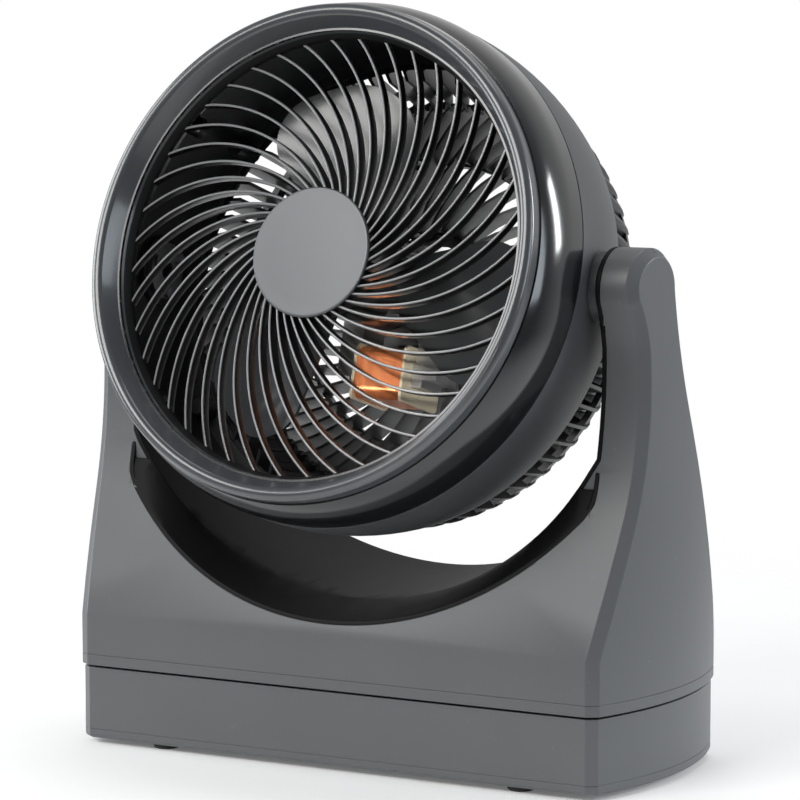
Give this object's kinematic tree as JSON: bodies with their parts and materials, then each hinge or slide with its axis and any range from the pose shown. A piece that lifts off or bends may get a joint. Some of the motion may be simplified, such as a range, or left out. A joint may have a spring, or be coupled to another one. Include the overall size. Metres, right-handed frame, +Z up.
{
  "type": "air circulator fan",
  "caption": "Air circulator fan with a round tilting head held between the arms of a U-shaped swinging stand, with a curved-bar front grille and broad blades.",
  "frame": {"origin": "on the floor under the middle of the base", "axes": "+Z up, front grille faces -Y, +X to the right when facing the same way as +Y"},
  "size_m": [0.334, 0.2033, 0.3939],
  "materials": {
    "stand_plastic": "semi-gloss charcoal, fine moulded texture",
    "base_plastic": "satin dark grey",
    "liner_plastic": "satin black",
    "shell_plastic": "polished near-black",
    "drum_plastic": "satin mid grey",
    "grille_plastic": "near-black with paler front edges on the bars",
    "cap_plastic": "satin grey lacquer",
    "blade_plastic": "smooth smoke grey",
    "knob_plastic": "satin black",
    "inner_plastic": "plain black moulding",
    "bobbin_nylon": "cream nylon",
    "slide_plastic": "white low-friction acetal",
    "rubber": "soft black",
    "copper": "enamelled copper",
    "steel": "zinc plated",
    "lamination": "varnished laminated steel",
    "bronze": "sintered bronze"
  },
  "bodies": {
    "base": {"base_plate": "base_plastic", "rubber_feet": "rubber", "base_housing": "base_plastic", "plate_screws": "steel", "glide_pads": "slide_plastic", "swing_motor": "steel", "swing_motor_screws": "steel", "swivel_retainer": "steel", "retainer_screws": "steel", "cord_grommet": "rubber", "swing_switch": "inner_plastic"},
    "crank": {"swing_crank": "inner_plastic", "swing_shaft": "steel"},
    "rocker": {"swing_rocker": "knob_plastic"},
    "stand": {"stand_tray": "base_plastic", "stand_front": "stand_plastic", "stand_rear": "stand_plastic", "stand_liner": "liner_plastic", "tray_screws": "steel", "cover_screws": "steel", "pivot_bushes": "slide_plastic"},
    "head": {"front_grille": "grille_plastic", "hub_cap": "cap_plastic", "front_shell": "shell_plastic", "mid_shell": "drum_plastic", "rear_grille": "drum_plastic", "grille_screws": "steel", "shell_screws": "steel", "rear_grille_screws": "steel", "trunnions": "steel", "trunnion_screws": "steel", "friction_washers": "slide_plastic", "trunnion_clips": "steel", "stator_core": "lamination", "coil_bobbin": "bobbin_nylon", "motor_coil": "copper", "front_bracket": "steel", "rear_bracket": "steel", "shaft_bearings": "bronze", "motor_bolts": "steel", "speed_switch": "inner_plastic"},
    "rotor": {"impeller": "blade_plastic", "impeller_nut": "blade_plastic", "motor_shaft": "steel", "rotor_core": "lamination"},
    "knob": {"speed_knob": "knob_plastic", "switch_spindle": "steel"}
  },
  "joints": [
    {"name": "stand_swivel", "type": "hinge", "parent": "base", "child": "stand", "pos_m": [0, 0, 0.0428], "axis": [0, 0, 1], "range_deg": [-31, 31]},
    {"name": "crank_turn", "type": "hinge", "parent": "base", "child": "crank", "pos_m": [0.0475, 0, 0.036], "axis": [0, 0, 1], "range_deg": [-90, 90]},
    {"name": "rocker_tip", "type": "hinge", "parent": "base", "child": "rocker", "pos_m": [0.07, 0.0705, 0.024], "axis": [0, 0, 1], "range_deg": [0, 14]},
    {"name": "head_tilt", "type": "hinge", "parent": "stand", "child": "head", "pos_m": [0, -0.0245, 0.252], "axis": [-1, 0, 0], "range_deg": [-15.7, 74.3]},
    {"name": "impeller_spin", "type": "hinge", "parent": "head", "child": "rotor", "pos_m": [0, -0.08496, 0.26899], "axis": [0, -0.9627, 0.2706], "continuous": true},
    {"name": "knob_turn", "type": "hinge", "parent": "head", "child": "knob", "pos_m": [0, -0.08496, 0.26899], "axis": [0, -0.9627, 0.2706], "range_deg": [0, 135]}
  ],
  "couplings": [
    {"joint": "crank_turn", "follows": "stand_swivel", "ratio": 2.86}
  ]
}
